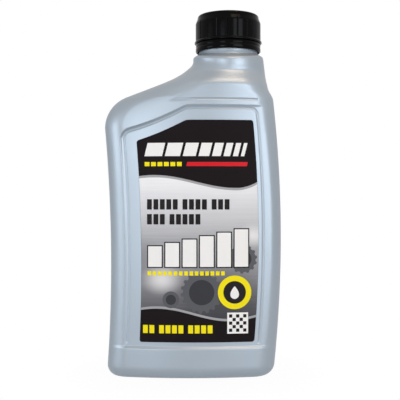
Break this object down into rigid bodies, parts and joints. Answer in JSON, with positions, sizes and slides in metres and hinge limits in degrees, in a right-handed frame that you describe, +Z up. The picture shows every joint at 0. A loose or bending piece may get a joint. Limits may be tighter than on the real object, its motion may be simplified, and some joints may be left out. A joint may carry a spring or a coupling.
{
  "type": "motor oil bottle",
  "caption": "Flat blow-moulded oil bottle with a neck offset to one side, a ribbed screw cap, a tamper band and a recessed front label.",
  "frame": {"origin": "middle of the bottle's box at the level that it stands on", "axes": "+Z up along the height, +X towards the side where the neck stands, -Y out of the labelled front"},
  "size_m": [0.1118, 0.0596, 0.2306],
  "materials": {
    "bottle_hdpe": "pearl silver grey blown polyethylene, satin",
    "cap_plastic": "black moulded polypropylene, glossy",
    "liner_foam": "white foamed polyethylene",
    "label_film": "printed plastic film, semi-gloss",
    "motor_oil": "clear amber oil"
  },
  "bodies": {
    "shell": {"bottle": "bottle_hdpe", "tamper_band": "cap_plastic", "front_label": "label_film", "oil": "motor_oil"},
    "liner": {"cap_liner": "liner_foam"},
    "cap": {"cap": "cap_plastic"}
  },
  "joints": [
    {"name": "cap_rise", "type": "slide", "parent": "shell", "child": "liner", "axis": [0, 0, 1], "range_m": [0, 0.03387]},
    {"name": "cap_turn", "type": "hinge", "parent": "liner", "child": "cap", "pos_m": [0.02281, 0, 0.2278], "axis": [0, 0, 1], "range_deg": [0, 2880]}
  ],
  "couplings": [
    {"joint": "cap_rise", "follows": "cap_turn", "m_per_rad": 0.00067375}
  ]
}
